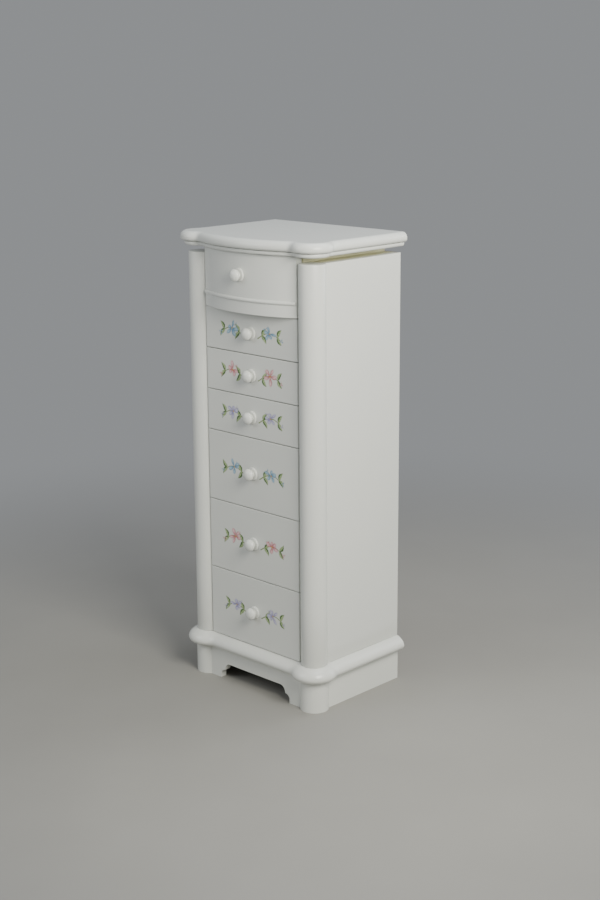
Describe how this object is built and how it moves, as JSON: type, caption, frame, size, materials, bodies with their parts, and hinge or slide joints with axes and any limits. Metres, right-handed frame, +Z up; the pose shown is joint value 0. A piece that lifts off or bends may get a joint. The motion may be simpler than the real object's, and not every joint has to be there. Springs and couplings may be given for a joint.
{
  "type": "tall narrow chest of drawers",
  "caption": "Tall narrow painted chest of drawers with a bowed top drawer, round corner posts, moulded top and base, turned knobs and hand-painted flowers.",
  "frame": {"origin": "on the floor, under the middle of the chest's bounding box", "axes": "+X to the chest's right as seen from the front, +Y to the back, +Z up"},
  "size_m": [0.5088, 0.3802, 1.2],
  "materials": {
    "white_painted_wood": "satin off-white enamel over wood",
    "white_painted_knob": "gloss white enamel over turned wood",
    "plain_softwood": "unfinished",
    "drawer_wood": "clear sealed",
    "drawer_plywood": "clear sealed",
    "hardboard": "smooth hardboard",
    "steel_pins": "bright"
  },
  "bodies": {
    "carcase": {"plinth_front": "white_painted_wood", "plinth_corner_left": "white_painted_wood", "plinth_corner_right": "white_painted_wood", "plinth_side_left": "white_painted_wood", "plinth_side_right": "white_painted_wood", "base_board": "white_painted_wood", "corner_post_left": "white_painted_wood", "corner_post_right": "white_painted_wood", "side_panel_left": "white_painted_wood", "side_panel_right": "white_painted_wood", "neck_rails": "white_painted_wood", "top_under_moulding": "white_painted_wood", "case_top_panel": "white_painted_wood", "top_board": "white_painted_wood", "plinth_back": "plain_softwood", "plinth_glue_blocks": "plain_softwood", "front_rails": "plain_softwood", "drawer_runners_left": "plain_softwood", "drawer_runners_right": "plain_softwood", "drawer_guides": "plain_softwood", "back_panel": "hardboard", "back_panel_pins": "steel_pins"},
    "drawer_1": {"drawer_1_front": "white_painted_wood", "drawer_1_sides": "drawer_wood", "drawer_1_back": "drawer_wood", "drawer_1_bottom": "drawer_plywood", "drawer_1_knob": "white_painted_knob", "drawer_1_bead": "white_painted_wood"},
    "drawer_2": {"drawer_2_front": "white_painted_wood", "drawer_2_sides": "drawer_wood", "drawer_2_back": "drawer_wood", "drawer_2_bottom": "drawer_plywood", "drawer_2_knob": "white_painted_knob"},
    "drawer_3": {"drawer_3_front": "white_painted_wood", "drawer_3_sides": "drawer_wood", "drawer_3_back": "drawer_wood", "drawer_3_bottom": "drawer_plywood", "drawer_3_knob": "white_painted_knob"},
    "drawer_4": {"drawer_4_front": "white_painted_wood", "drawer_4_sides": "drawer_wood", "drawer_4_back": "drawer_wood", "drawer_4_bottom": "drawer_plywood", "drawer_4_knob": "white_painted_knob"},
    "drawer_5": {"drawer_5_front": "white_painted_wood", "drawer_5_sides": "drawer_wood", "drawer_5_back": "drawer_wood", "drawer_5_bottom": "drawer_plywood", "drawer_5_knob": "white_painted_knob"},
    "drawer_6": {"drawer_6_front": "white_painted_wood", "drawer_6_sides": "drawer_wood", "drawer_6_back": "drawer_wood", "drawer_6_bottom": "drawer_plywood", "drawer_6_knob": "white_painted_knob"},
    "drawer_7": {"drawer_7_front": "white_painted_wood", "drawer_7_sides": "drawer_wood", "drawer_7_back": "drawer_wood", "drawer_7_bottom": "drawer_plywood", "drawer_7_knob": "white_painted_knob"}
  },
  "joints": [
    {"name": "drawer_1_slide", "type": "slide", "parent": "carcase", "child": "drawer_1", "axis": [0, -1, 0], "range_m": [0, 0.2]},
    {"name": "drawer_2_slide", "type": "slide", "parent": "carcase", "child": "drawer_2", "axis": [0, -1, 0], "range_m": [0, 0.2]},
    {"name": "drawer_3_slide", "type": "slide", "parent": "carcase", "child": "drawer_3", "axis": [0, -1, 0], "range_m": [0, 0.2]},
    {"name": "drawer_4_slide", "type": "slide", "parent": "carcase", "child": "drawer_4", "axis": [0, -1, 0], "range_m": [0, 0.2]},
    {"name": "drawer_5_slide", "type": "slide", "parent": "carcase", "child": "drawer_5", "axis": [0, -1, 0], "range_m": [0, 0.2]},
    {"name": "drawer_6_slide", "type": "slide", "parent": "carcase", "child": "drawer_6", "axis": [0, -1, 0], "range_m": [0, 0.2]},
    {"name": "drawer_7_slide", "type": "slide", "parent": "carcase", "child": "drawer_7", "axis": [0, -1, 0], "range_m": [0, 0.2]}
  ]
}
